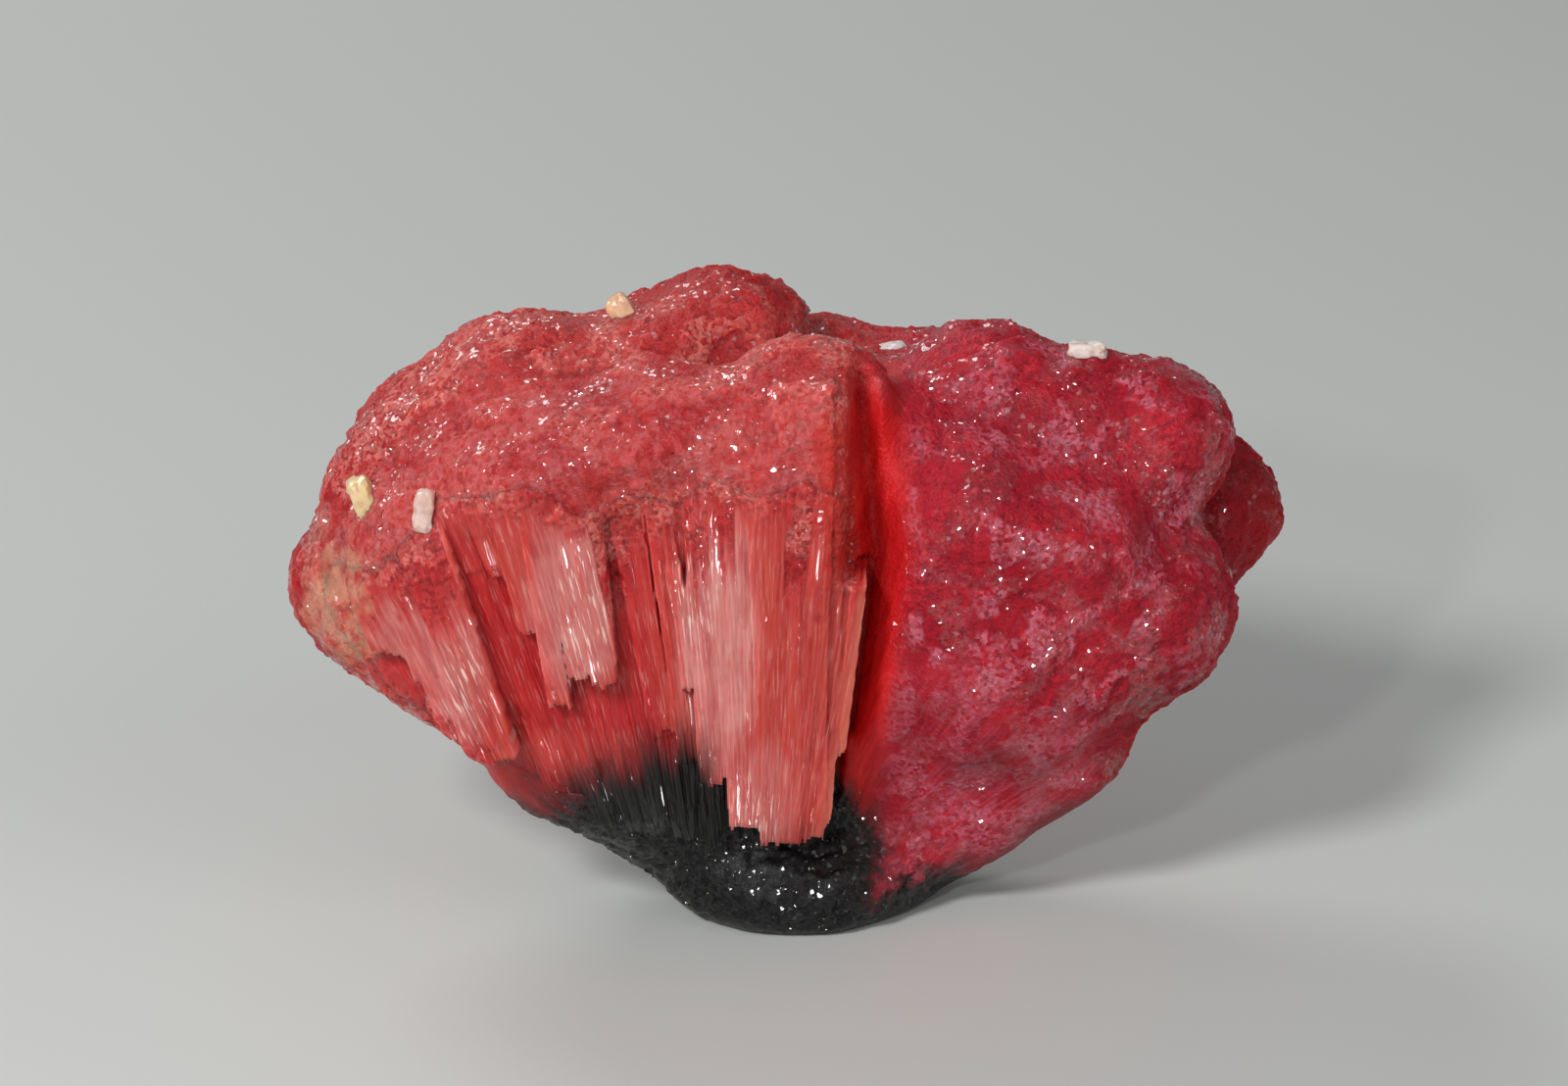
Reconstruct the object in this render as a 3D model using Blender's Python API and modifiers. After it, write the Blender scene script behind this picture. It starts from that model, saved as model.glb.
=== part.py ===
# A mushroom elbaite: a fan of pink tourmaline needles that grew out of a black root.
# +Z is up, -Y is the broken front of the fan, and the fan spreads along X.
# The origin is in the middle of the cut that the root stands on. Blender units are metres.
import math

import bmesh
import bpy
from mathutils import Matrix, Vector

MM = 0.001

# Driving sizes, in millimetres
GROWTH_POINT = Vector((0.8, 0.5, -1.0))  # where the needles start, just under the cut
ROOT_RADIUS = 1.6  # of every bundle where it leaves the growth point
FUSE_SIZE = 0.36  # the grain at which the bundles grow into one another
LUMP_SIZE = 2.4  # spacing of the low lumps of the skin
LUMP_HEIGHT = 0.7
SOFTENING = 7  # passes that round the valleys between the bundles
FACETS_KEPT = 0.2  # share of the fused surface's triangles that the facets keep
EMBEDDED = -2.2  # depth at which the backs of the splinters lie, inside the fan
PINK = (0.53, 0.07, 0.08)  # the salmon red of the tourmaline, in linear light

# The bundles of needles that make up the fan:
# lean to the right in degrees, tilt to the back in degrees, reach, radius across, radius in depth
BUNDLES = (
    # the middle row, which makes the outline
    (-48, 0, 21.0, 3.6, 3.4),
    (-42, 1, 22.0, 2.7, 3.2),
    (-36, 1, 22.6, 3.0, 3.4),
    (-28, 2, 22.7, 3.3, 3.4),
    (-15, 4, 21.6, 3.2, 3.4),
    (-8, 7, 21.8, 3.0, 3.2),
    (7, 5, 19.2, 3.0, 3.0),
    (11, -3, 19.2, 2.6, 2.6),
    (19, 3, 21.1, 3.0, 3.2),
    (29, 3, 21.6, 3.3, 3.3),
    (34, 2, 22.4, 2.5, 3.2),
    (45, 13, 21.2, 2.7, 3.0),
    # the front row: the fracture cuts it on the left, and it stands free on the right
    (-48, -6, 18.0, 2.6, 2.6),
    (-40, -11, 20.4, 2.9, 2.7),
    (-28, -12, 21.4, 3.0, 2.7),
    (-15, -12, 21.2, 3.0, 2.7),
    (0, -9, 21.2, 2.8, 2.3),
    (20, -10, 18.8, 3.2, 3.1),
    (31, -9, 19.0, 3.2, 3.2),
    (42, -7, 18.8, 3.4, 2.9),
    (50, -6, 13.0, 2.4, 2.4),
    # the back row
    (-44, 12, 18.0, 3.2, 2.8),
    (-30, 16, 19.6, 3.2, 2.8),
    (-15, 18, 21.0, 3.0, 2.8),
    (0, 18, 19.8, 3.2, 2.8),
    (15, 17, 20.0, 3.1, 2.8),
    (30, 16, 19.6, 3.2, 2.8),
    (42, 16, 18.6, 3.0, 2.8),
    # the small low bundles under the right flank
    (51, 7, 16.2, 2.2, 2.2),
    (56, 3, 12.6, 1.4, 1.7),
    (59, 1, 9.4, 0.9, 1.2),
)

# Centre and radii of the masses that the bundles share
MASSES = (
    ((0.3, 0.8, 9.6), (11.0, 4.9, 7.8)),  # the heart of the fan
    ((-5.0, -0.8, 14.6), (8.2, 4.9, 3.9)),  # the cap over the broken face
    ((-3.4, -1.2, 9.4), (7.8, 3.5, 7.2)),  # the needles behind the broken face
    ((7.4, -1.2, 10.6), (5.6, 4.0, 6.0)),  # the right lobe
    ((0.6, 0.2, 1.2), (4.8, 4.3, 2.4)),  # the black root
)

# The outline, across and up, of the piece that broke off the front
FRACTURE_SIDES = ((-22, 10), (-22, -3), (1.6, -3), (1.9, 4), (2.7, 12.6), (2.2, 15.4))
FRACTURE_CEILING = (
    (1.6, 17.4),
    (-1.0, 17.2),
    (-3.5, 17.2),
    (-6.5, 17.0),
    (-9.0, 16.5),
    (-10.8, 15.4),
    (-12.2, 13.6),
    (-14.5, 11.4),
)
CEILING_SLOPE = 0.9  # the ceiling is this much higher at the front and lower at the back
FRACTURE_DEPTH_LOW = -3.9  # where the broken face lies at the foot of the fan
FRACTURE_DEPTH_HIGH = -4.4  # and where it lies sixteen millimetres up

# The groove beside the broken face: height, left edge, bottom, right edge and depth of each cross-section
GROOVE = (
    (1.5, 1.2, 1.6, 2.2, -4.6),
    (4.5, 1.5, 2.0, 3.0, -3.0),
    (9.0, 2.0, 2.5, 3.8, -2.3),
    (13.0, 2.5, 2.9, 4.3, -2.0),
    (17.0, 2.1, 2.6, 3.8, -2.2),
    (22.0, 1.8, 2.3, 3.4, -2.6),
)

# The splinters of the broken face, from left to right: top across and up, foot across and up,
# width at the top and the foot, depth of the front at the top, the shoulder and the foot, turn of the front
SPLINTERS = (
    # rounded slabs at the edge of the left wing
    (-13.6, 13.3, -12.3, 9.9, 1.5, 1.3, -3.5, -4.2, -4.0, 0.30),
    (-12.6, 14.3, -11.1, 9.1, 1.1, 1.0, -4.0, -4.7, -4.5, 0.15),
    # the left slab with its sharp right edge
    (-12.4, 14.6, -10.3, 7.2, 1.0, 0.9, -4.1, -4.8, -4.7, 0.12),
    (-11.8, 15.1, -9.5, 6.4, 1.0, 0.9, -4.2, -5.0, -4.9, 0.06),
    (-11.2, 15.2, -8.7, 6.7, 0.9, 0.8, -4.4, -5.1, -5.0, -0.06),
    # the stepped slab beside it
    (-10.0, 16.6, -8.9, 12.7, 0.8, 0.6, -4.4, -4.8, -4.7, 0.12),
    (-9.1, 17.1, -7.8, 10.9, 1.1, 0.9, -4.5, -5.1, -4.9, 0.08),
    (-8.0, 17.3, -7.0, 8.5, 1.1, 0.7, -4.6, -5.3, -5.0, -0.05),
    (-7.1, 17.4, -6.3, 9.3, 0.9, 0.8, -4.7, -5.4, -5.1, 0.07),
    (-6.3, 17.4, -5.5, 9.0, 0.9, 0.8, -4.7, -5.3, -5.1, -0.12),
    # low ribs in the sunk red part
    (-5.3, 17.4, -3.7, 7.2, 1.1, 0.8, -4.5, -4.7, -4.3, 0.08),
    (-4.1, 17.4, -2.9, 6.6, 0.9, 0.7, -4.5, -4.8, -4.4, -0.06),
    # the proud slab in the middle
    (-3.4, 13.3, -3.2, 11.7, 0.5, 0.4, -4.9, -5.0, -5.0, 0.08),
    (-3.1, 12.8, -2.8, 9.2, 0.8, 0.7, -5.1, -5.1, -5.1, 0.10),
    (-2.6, 17.3, -2.1, 6.0, 1.2, 1.0, -4.8, -5.4, -5.2, 0.12),
    (-1.6, 18.0, -1.1, 4.5, 1.3, 1.1, -4.9, -5.6, -5.3, 0.05),
    (-0.3, 19.2, 0.0, 4.0, 1.8, 1.3, -5.1, -5.9, -5.3, -0.03),
    (1.05, 19.3, 0.95, 4.1, 1.3, 0.9, -5.0, -5.8, -5.2, -0.06),
    (1.85, 18.7, 1.4, 4.6, 0.7, 0.5, -4.6, -5.4, -5.0, -0.12),
    (2.5, 12.7, 1.9, 6.8, 0.6, 0.4, -4.9, -4.9, -4.8, -0.20),
)
SHOULDER_SHARE = 0.2  # how far down its length a splinter reaches its full depth

# Small pale crystals that grew on the skin: middle, length, width and thickness, lean to the right in degrees
GRAINS = (
    ((-13.1, -2.1, 14.4), (1.7, 0.9, 1.0), -24),
    ((-11.2, -4.5, 14.9), (1.5, 0.7, 0.8), 8),
    ((-5.0, 1.5, 19.4), (0.8, 1.2, 0.8), 60),
    ((3.6, 4.0, 17.3), (0.8, 0.6, 0.6), 85),
    ((9.8, 1.2, 18.2), (1.1, 0.6, 0.6), 88),
)


def direction(lean, tilt):
    """The way a bundle grows: lean turns it to the right, tilt to the back."""
    lean, tilt = math.radians(lean), math.radians(tilt)
    return Vector(
        (
            math.sin(lean) * math.cos(tilt),
            math.sin(tilt),
            math.cos(lean) * math.cos(tilt),
        )
    )


def add_bundle(mesh, lean, tilt, reach, across, deep):
    """One sheaf of needles: a column that widens from the growth point to a domed tip."""
    along = direction(lean, tilt)
    side = Vector((0, 1, 0)).cross(along).normalized()
    depth_way = along.cross(side).normalized()
    turn = Matrix((side, depth_way, along)).transposed().to_4x4()
    dome = 0.75 * min(across, deep)
    column = reach - dome
    middle = Matrix.Translation(GROWTH_POINT + along * (column / 2))
    bmesh.ops.create_cone(
        mesh,
        cap_ends=True,
        segments=14,
        radius1=ROOT_RADIUS / across,
        radius2=1,
        depth=column,
        matrix=middle @ turn @ Matrix.Diagonal((across, deep, 1, 1)),
    )
    tip = Matrix.Translation(GROWTH_POINT + along * column)
    bmesh.ops.create_uvsphere(
        mesh,
        u_segments=14,
        v_segments=10,
        radius=1,
        matrix=tip @ turn @ Matrix.Diagonal((across, deep, dome, 1)),
    )


def add_mass(mesh, centre, radii):
    place = Matrix.Translation(centre) @ Matrix.Diagonal((*radii, 1))
    bmesh.ops.create_uvsphere(mesh, u_segments=20, v_segments=14, radius=1, matrix=place)


def finish_mesh(mesh, name):
    """Turn millimetres into metres, face outward and put the mesh in an object."""
    bmesh.ops.recalc_face_normals(mesh, faces=mesh.faces)
    bmesh.ops.scale(mesh, vec=(MM, MM, MM), verts=mesh.verts)
    data = bpy.data.meshes.new(name)
    mesh.to_mesh(data)
    mesh.free()
    return bpy.data.objects.new(name, data)


def make_fan():
    """The bundles grown together, with the skin's low lumps, before anything broke off."""
    mesh = bmesh.new()
    for bundle in BUNDLES:
        add_bundle(mesh, *bundle)
    for centre, radii in MASSES:
        add_mass(mesh, centre, radii)
    fan = finish_mesh(mesh, "elbaite_crystal")
    fuse = fan.modifiers.new("fuse", "REMESH")
    fuse.mode = "VOXEL"
    fuse.voxel_size = FUSE_SIZE * MM
    soften = fan.modifiers.new("soften", "SMOOTH")
    soften.factor = 0.5
    soften.iterations = SOFTENING
    lumps = bpy.data.textures.new("low lumps", "CLOUDS")
    lumps.noise_scale = LUMP_SIZE * MM
    lumps.noise_depth = 1
    swell = fan.modifiers.new("swell", "DISPLACE")
    swell.texture = lumps
    swell.texture_coords = "LOCAL"
    swell.strength = LUMP_HEIGHT * MM
    facet = fan.modifiers.new("facet", "DECIMATE")
    facet.ratio = FACETS_KEPT
    return fan


def close_loops(mesh, loops):
    """Skin a row of equal loops of points and close both ends."""
    rows = [[mesh.verts.new(point) for point in loop] for loop in loops]
    for low, high in zip(rows, rows[1:]):
        for i in range(len(low)):
            j = (i + 1) % len(low)
            mesh.faces.new((low[i], low[j], high[j], high[i]))
    mesh.faces.new(reversed(rows[0]))
    mesh.faces.new(rows[-1])


def face_depth(height):
    share = height / 16
    return FRACTURE_DEPTH_LOW + (FRACTURE_DEPTH_HIGH - FRACTURE_DEPTH_LOW) * share


def make_fracture():
    mesh = bmesh.new()
    high = [(x, z + CEILING_SLOPE) for x, z in FRACTURE_CEILING]
    low = [(x, z - CEILING_SLOPE) for x, z in FRACTURE_CEILING]
    front = [(x, -14, z) for x, z in (*FRACTURE_SIDES, *high)]
    back = [(x, face_depth(z), z) for x, z in (*FRACTURE_SIDES, *low)]
    close_loops(mesh, (front, back))
    return finish_mesh(mesh, "broken front")


def make_groove():
    mesh = bmesh.new()
    loops = []
    for z, left, bottom, right, depth in GROOVE:
        loops.append(
            (
                (left, -14, z),
                (left, depth - 2.2, z),
                (bottom, depth, z),
                (right, depth - 3.0, z),
                (right + 1.6, -14, z),
            )
        )
    close_loops(mesh, loops)
    return finish_mesh(mesh, "groove")


def make_splinter(row):
    top_x, top_z, foot_x, foot_z, top_wide, foot_wide, top_y, shoulder_y, foot_y, turn = row
    sections = (
        (foot_x, foot_z, foot_wide, foot_y),
        (
            top_x + (foot_x - top_x) * SHOULDER_SHARE,
            top_z + (foot_z - top_z) * SHOULDER_SHARE,
            top_wide + (foot_wide - top_wide) * SHOULDER_SHARE,
            shoulder_y,
        ),
        (top_x, top_z, top_wide, top_y),
    )
    mesh = bmesh.new()
    loops = []
    for x, z, wide, y in sections:
        half = wide / 2
        loops.append(
            (
                (x - half, y + turn, z),
                (x + half, y - turn, z),
                (x + half, EMBEDDED, z),
                (x - half, EMBEDDED, z),
            )
        )
    close_loops(mesh, loops)
    return finish_mesh(mesh, "splinter")


def make_grain(middle, size, lean):
    """A stubby six-sided crystal, half sunk in the skin."""
    length, wide, thick = size
    mesh = bmesh.new()
    turn = Matrix.Rotation(math.radians(lean), 4, "Y")
    bmesh.ops.create_cone(
        mesh,
        cap_ends=True,
        segments=6,
        radius1=0.42,
        radius2=0.5,
        depth=1,
        matrix=Matrix.Translation(middle) @ turn @ Matrix.Diagonal((wide, thick, length, 1)),
    )
    return finish_mesh(mesh, "pale grain")


def make_base_cut():
    mesh = bmesh.new()
    corners = ((-20, -20), (20, -20), (20, 20), (-20, 20))
    close_loops(mesh, [[(x, y, z) for x, y in corners] for z in (-6, 0)])
    return finish_mesh(mesh, "flat cut")


def make_material(name, colour, roughness):
    made = bpy.data.materials.new(name)
    made.use_nodes = True
    shader = made.node_tree.nodes["Principled BSDF"]
    shader.inputs["Base Color"].default_value = (*colour, 1)
    shader.inputs["Roughness"].default_value = roughness
    shader.inputs["Metallic"].default_value = 0
    return made


def new_collection(name):
    made = bpy.data.collections.new(name)
    bpy.context.scene.collection.children.link(made)
    return made


def add_boolean(body, name, operation, collection):
    cut = body.modifiers.new(name, "BOOLEAN")
    cut.operation = operation
    cut.operand_type = "COLLECTION"
    cut.collection = collection
    cut.solver = "EXACT"


def hide_in(collection, helper):
    helper.hide_render = True
    helper.display_type = "WIRE"
    collection.objects.link(helper)


for old in list(bpy.data.objects):
    bpy.data.objects.remove(old)

crystal = new_collection("elbaite crystal")
broken = new_collection("pieces that broke off")
grown = new_collection("splinters and pale grains")
cut_off = new_collection("cut under the root")

fan = make_fan()
fan.data.materials.append(make_material("pink elbaite", PINK, 0.4))
crystal.objects.link(fan)
hide_in(broken, make_fracture())
hide_in(broken, make_groove())
for row in SPLINTERS:
    hide_in(grown, make_splinter(row))
for grain in GRAINS:
    hide_in(grown, make_grain(*grain))
hide_in(cut_off, make_base_cut())
add_boolean(fan, "break the front", "DIFFERENCE", broken)
add_boolean(fan, "grow the splinters and grains", "UNION", grown)
add_boolean(fan, "stand the root flat", "DIFFERENCE", cut_off)
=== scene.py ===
import itertools
import math

import bmesh
import bpy
import numpy as np
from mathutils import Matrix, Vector
from mathutils.bvhtree import BVHTree


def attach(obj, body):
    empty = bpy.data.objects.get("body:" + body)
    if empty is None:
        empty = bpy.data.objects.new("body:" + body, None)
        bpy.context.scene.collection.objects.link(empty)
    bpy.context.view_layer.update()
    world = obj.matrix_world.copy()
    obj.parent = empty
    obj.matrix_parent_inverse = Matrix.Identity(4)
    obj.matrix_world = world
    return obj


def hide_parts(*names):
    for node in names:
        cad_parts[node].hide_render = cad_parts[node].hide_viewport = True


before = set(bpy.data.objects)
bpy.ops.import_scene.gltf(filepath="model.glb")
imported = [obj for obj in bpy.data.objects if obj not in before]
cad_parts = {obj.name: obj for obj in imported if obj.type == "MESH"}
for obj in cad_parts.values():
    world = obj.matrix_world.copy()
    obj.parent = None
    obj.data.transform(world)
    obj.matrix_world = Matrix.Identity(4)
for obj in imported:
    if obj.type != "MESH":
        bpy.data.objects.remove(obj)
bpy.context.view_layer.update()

# The fan of needles
# Elbaite, a lithium tourmaline: thousands of needles that grew out of one root and fused into a fan. Their tips
# make a granular crust over the cap and the right lobe, and its lower flanks are smooth and faintly fluted.
# It is the solid's own form as a fine skin, calmed, with the crust and the flutes raised on it.
MM = 0.001
SKIN_PITCH = 0.159  # mm between the points of the skin
GROWTH_POINT = np.array((0.8, 0.5, -1.0))  # mm, where the needles spread from
FLUTE_REACH = 15  # mm from the growth point, where the flutes have the widths that are given
# The line where the break ends under the cap, from left to right, as x and z.
CEILING = ((-16, 10.6), (-14.5, 12.2), (-12.2, 14.6), (-10.8, 16.0), (-9, 17.1), (-1.0, 17.4), (1.6, 17.4))
# The groove between the break and the right lobe, from the bottom up, as z and x.
GROOVE = ((1.5, 1.6), (4.5, 2.0), (9, 2.7), (13, 3.2), (17, 3.0), (20, 2.7))
CRUST_STARTS, CRUST_FULL = 11.8, 13.0  # mm from the growth point
BLACK_REACH = 8.2  # mm that the black reaches from the middle of the root


def new_piece(name, data):
    piece = bpy.data.objects.new(name, data)
    bpy.context.scene.collection.objects.link(piece)
    return piece


def read_points(mesh):
    flat = np.empty(len(mesh.vertices) * 3, np.float32)
    mesh.vertices.foreach_get("co", flat)
    return flat.reshape(-1, 3).astype(float) / MM


def read_normals(mesh):
    flat = np.empty(len(mesh.vertices) * 3, np.float32)
    mesh.vertex_normals.foreach_get("vector", flat)
    return flat.reshape(-1, 3).astype(float)


def write_points(mesh, points):
    mesh.vertices.foreach_set("co", (points * MM).astype(np.float32).ravel())
    mesh.update()


def ramp(value, low, high):
    """0 at low, 1 at high and a smooth rise between them."""
    share = np.clip((value - low) / (high - low), 0, 1)
    return share * share * (3 - 2 * share)


def line_at(line, place):
    return np.interp(place, [p[0] for p in line], [p[1] for p in line])


def scatter(cell, seed):
    """A fixed random number from 0 to 1 for each whole-number cell."""
    x, y, z = np.floor(cell).astype(np.int64).T
    mix = (x * 374761393 + y * 668265263 + z * 1440662683 + seed * 1013904223) & 0xFFFFFFFF
    mix = ((mix ^ (mix >> 13)) * 1274126177) & 0xFFFFFFFF
    mix = ((mix ^ (mix >> 15)) * 2246822519) & 0xFFFFFFFF
    return ((mix ^ (mix >> 16)) & 0xFFFFFF) / 0xFFFFFF


def swell(points, size, seed):
    """Smooth noise from -1 to 1 with lumps of one size, in millimetres."""
    place = points / size
    base = np.floor(place)
    t = place - base
    t = t * t * (3 - 2 * t)
    out = np.zeros(len(points))
    for corner in itertools.product((0, 1), repeat=3):
        share = np.prod(np.where(corner, t, 1 - t), axis=1)
        out += share * scatter(base + corner, seed)
    return out * 2 - 1


def facets(points, size, seed):
    """Crowded crystals of one size: the height and slant of each from -1 to 1, and the distance from its edge."""
    place = points / size
    base = np.floor(place)
    nearest = np.full(len(points), 9.0)
    next_nearest = np.full(len(points), 9.0)
    height = np.zeros(len(points))
    slant = np.zeros(len(points))
    for step in itertools.product((-1, 0, 1), repeat=3):
        cell = base + step
        draws = [scatter(cell, seed + i) for i in range(7)]
        away = place - cell - np.stack(draws[:3], 1)
        gap = np.linalg.norm(away, axis=1)
        closer = gap < nearest
        next_nearest = np.where(closer, nearest, np.minimum(next_nearest, gap))
        nearest = np.where(closer, gap, nearest)
        height = np.where(closer, draws[3] * 2 - 1, height)
        slope = (np.stack(draws[4:], 1) - 0.5) * 2
        slant = np.where(closer, (away * slope).sum(1), slant)
    return height, slant, next_nearest - nearest


def fine_skin(solid, pitch):
    """The solid's shape as one even mesh of small quads."""
    work = bmesh.new()
    work.from_mesh(solid.data)
    bmesh.ops.remove_doubles(work, verts=work.verts, dist=1e-6)
    data = bpy.data.meshes.new("rough form")
    work.to_mesh(data)
    work.free()
    rough = new_piece("rough_form", data)
    fuse = rough.modifiers.new("fuse", "REMESH")
    fuse.mode = "VOXEL"
    fuse.voxel_size = pitch * MM
    seen = rough.evaluated_get(bpy.context.evaluated_depsgraph_get())
    made = bpy.data.meshes.new_from_object(seen)
    bpy.data.objects.remove(rough)
    return made


def relax(mesh, points, weight, passes):
    """Draw every point towards the middle of its neighbours, as much as its weight says."""
    ends = np.empty(len(mesh.edges) * 2, np.int32)
    mesh.edges.foreach_get("vertices", ends)
    a, b = ends.reshape(-1, 2).T
    size = len(points)
    near = np.bincount(a, minlength=size) + np.bincount(b, minlength=size)
    step = weight[:, None] * 0.6  # a full step would make the skin ripple
    for _ in range(passes):
        total = np.empty_like(points)
        for axis in range(3):
            values = points[:, axis]
            total[:, axis] = np.bincount(a, values[b], size) + np.bincount(b, values[a], size)
        points = points + step * (total / near[:, None] - points)
    return points


def crust_amount(points):
    reach = np.linalg.norm(points - GROWTH_POINT, axis=1)
    return ramp(reach + 1.2 * swell(points, 2.6, 71) + 0.5 * swell(points, 0.8, 72), CRUST_STARTS, CRUST_FULL)


def crusted(points):
    """The relief of the crust in mm, of lumps, crystals 1 to 2 mm across and needle tips, and its frost."""
    warped = points + 0.35 * np.stack([swell(points, 0.9, 60 + i) for i in range(3)], 1)
    patch, patch_slant, patch_edge = facets(warped, 1.7, 31)
    grain, grain_slant, grain_edge = facets(points, 0.62, 3)
    speck, speck_slant, _ = facets(points, 0.33, 9)
    lift = 0.12 * swell(points, 2.3, 1) + 0.05 * swell(points, 1.1, 2)
    lift += 0.05 * patch + 0.09 * patch_slant - 0.03 * ramp(0.12 - patch_edge, 0, 0.12)
    lift += 0.03 * grain + 0.04 * grain_slant - 0.02 * ramp(0.16 - grain_edge, 0, 0.14)
    lift += 0.03 * speck + 0.06 * speck_slant
    frost = ramp(patch + 0.9 * swell(points, 0.8, 33) + 0.5 * swell(points, 2.6, 34), -0.6, 0.75)
    return lift, frost


def blackness(points, streak):
    """How black the needles are: all of them near the root, and streaky where the black ends."""
    x, y, z = points.T
    spread = np.stack((x + 1.5, (y + 0.3) * 0.9, z), 1)
    near = np.linalg.norm(spread, axis=1) + np.clip(x - 0.5, 0, 9) * 0.85
    return np.maximum(ramp(BLACK_REACH + streak - near, -1.3, 1.1), ramp(1.5 + streak - z, -0.7, 0.7))


def stained(points):
    """Where the left edge of the fan is stained cream."""
    gap = np.linalg.norm((points - (-14.0, -2.6, 10.8)) / (1.6, 2.6, 2.6), axis=1)
    return ramp(1.15 - gap + 0.35 * swell(points, 0.9, 91) + 0.2 * swell(points, 0.35, 92), 0.1, 0.6)


def windowed(points):
    """The clear right-hand edge of the block over the proud slab, which frost never covered."""
    x, y, z = points.T
    wavy = x + 0.3 * swell(points, 1.1, 41) + 0.12 * swell(points, 0.4, 42)
    strip = ramp(wavy, 1.0, 1.5) * ramp(3.0 - x, 0, 0.3)
    return strip * ramp(z, 12.4, 13.4) * ramp(18.6 - z, 0, 1.2) * ramp(-y, 1, 2)


def store(mesh, name, values):
    mesh.attributes.new(name, "FLOAT", "POINT").data.foreach_set("value", values.astype(np.float32))


# The steps of the solid are calmed, most of all where the cap rolls over the break, and least at the edge of the
# block that overhangs the proud slab.
skin = fine_skin(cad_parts["elbaite_crystal"], SKIN_PITCH)
calm = read_points(skin)
x, y, z = calm.T
under_cap = ramp(2.6 - np.abs(z - line_at(CEILING, x)), 0, 1.2) * ramp(-y, 1.0, 2.0) * ramp(2.0 - x, 0, 0.5)
block_edge = ramp(z, 13, 14.5) * ramp(-y, 2, 3) * ramp(0.8 - np.abs(x - 2.0), 0, 0.4)
calm = relax(skin, calm, 1 - 0.75 * block_edge, passes=22)
calm = relax(skin, calm, under_cap * (1 - block_edge), passes=260)
write_points(skin, calm)
normals = read_normals(skin)

# The crust and the flutes are raised on it, in mm, but not on the flat break that it stands on.
away = calm - GROWTH_POINT
ray = away / np.linalg.norm(away, axis=1)[:, None] * FLUTE_REACH
x, y, z = calm.T
crust = crust_amount(calm)
black = blackness(calm, 0.6 * swell(ray, 0.5, 81) + 0.6 * swell(calm, 1.4, 82))
# The groove's colour is partly the clear crystal's own deep red and partly a painted glow of light shining
# through into its shade.
groove = ramp(1.3 - np.abs(x - line_at(GROOVE, z)), 0, 0.9) * ramp(-y, -2, 0)
groove = groove * ramp(z, 2, 4) * ramp(19.5 - z, 0, 2)
grit = np.maximum(crust, black) * (1 - 0.8 * groove)
lift, frost = crusted(calm)
frost *= crust * (1 - groove)
flutes = 0.08 * swell(ray, 1.5, 4) + 0.035 * swell(ray, 0.55, 6) + 0.02 * swell(ray, 0.3, 7)
lift = lift * grit + flutes * (1 - grit) + 0.02 * swell(calm, 0.3, 8)
raised = calm + normals * (lift * ramp(z, 0.0, 0.7))[:, None]
raised[:, 2] = np.maximum(raised[:, 2], 0)
write_points(skin, raised)

# Where each finish lies on the skin, from 0 to 1: the deep red rear of the right lobe and of the top, partly the
# clear crystal's own red and partly painted shade, the frosted flank under the lobe, and the fading of the crust
# into needles where it meets the break.
# Painted shade: the far side and the faces turned down and to the right get a darker deep red, over the clear
# crystal's own red.
turned_down = normals @ (0.72, 0.3, -0.63)
rear_red_and_painted_shade = np.maximum(ramp(y + 0.4 * (x - 10), 2.0, 5.0), ramp(turned_down, 0.4, 0.8)) * ramp(x, 5, 9)
rear_red_and_painted_shade = np.maximum(rear_red_and_painted_shade, 0.7 * ramp(y, 0.5, 3.5) * ramp(z, 16.5, 18.5))
flank = (1 - crust) * ramp(x, 2.4, 4.5) * ramp(z, 0.5, 2.0)
fading = ramp(3.0 - np.abs(z - line_at(CEILING, x)), 0, 2.5) * ramp(-y, 1, 2) * ramp(1.5 - x, 0, 0.5)
for name, values in (
    ("crust", np.maximum(crust, 0.8 * flank)),
    ("flutes", np.maximum(1 - crust, 0.8 * fading)),
    ("frost", frost),
    ("frosted", np.maximum(frost, 0.8 * flank) * (1 - 0.8 * rear_red_and_painted_shade) * (1 - 0.4 * fading)),
    ("pits", np.maximum(crust, flank) * (1 - 0.7 * rear_red_and_painted_shade) * (1 - 0.4 * fading) * 0.4),
    ("streaks", np.maximum((1 - crust) * ramp(x, 2.5, 6), fading) * 0.5),
    ("black", black),
    ("clear", 1 - ramp(black, 0.1, 0.9)),
    ("sheen", np.maximum(crust, 0.7 * flank) * (1 - groove) * (1 - 0.6 * rear_red_and_painted_shade)),
    ("sparkle", 0.38 * black),
    ("groove", groove * 0.85),
    ("window", windowed(calm) * 0.8),
    ("rear_red_and_painted_shade", rear_red_and_painted_shade * 0.85),
    ("stain", stained(calm) * 0.6),
    ("lobe", ramp(x - line_at(GROOVE, z) + 0.4 * swell(calm, 1.2, 35), -0.6, 1.4)),
    # Painted shade: faces that turn down near the root are painted dark brown-red.
    ("under", ramp(-normals[:, 2], 0.4, 0.9) * ramp(x, -4, 3) * 0.6),
):
    store(skin, name, values)
rays = skin.attributes.new("ray", "FLOAT_VECTOR", "POINT")
rays.data.foreach_set("vector", ray.astype(np.float32).ravel())
skin.shade_smooth()
fan = new_piece("needle_fan", skin)

# Pink elbaite, etched by nature: the light goes about a millimetre in and comes back red. Frosted patches are
# paler and matt, the clear windows between them are deep red, and iron turns the root black.
CLOUD_PITCH = 2.8  # mm, the clouds in the clear pink
PATCH_PITCH = 1.7  # mm, the frosted patches on the right lobe
SPECK_PITCH = 0.13  # mm, the grain of the frost
PIT_PITCH = 0.16  # mm, the dark pits between the needle tips
GLINT_PITCH = 0.12  # mm, one facet that can flash


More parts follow.
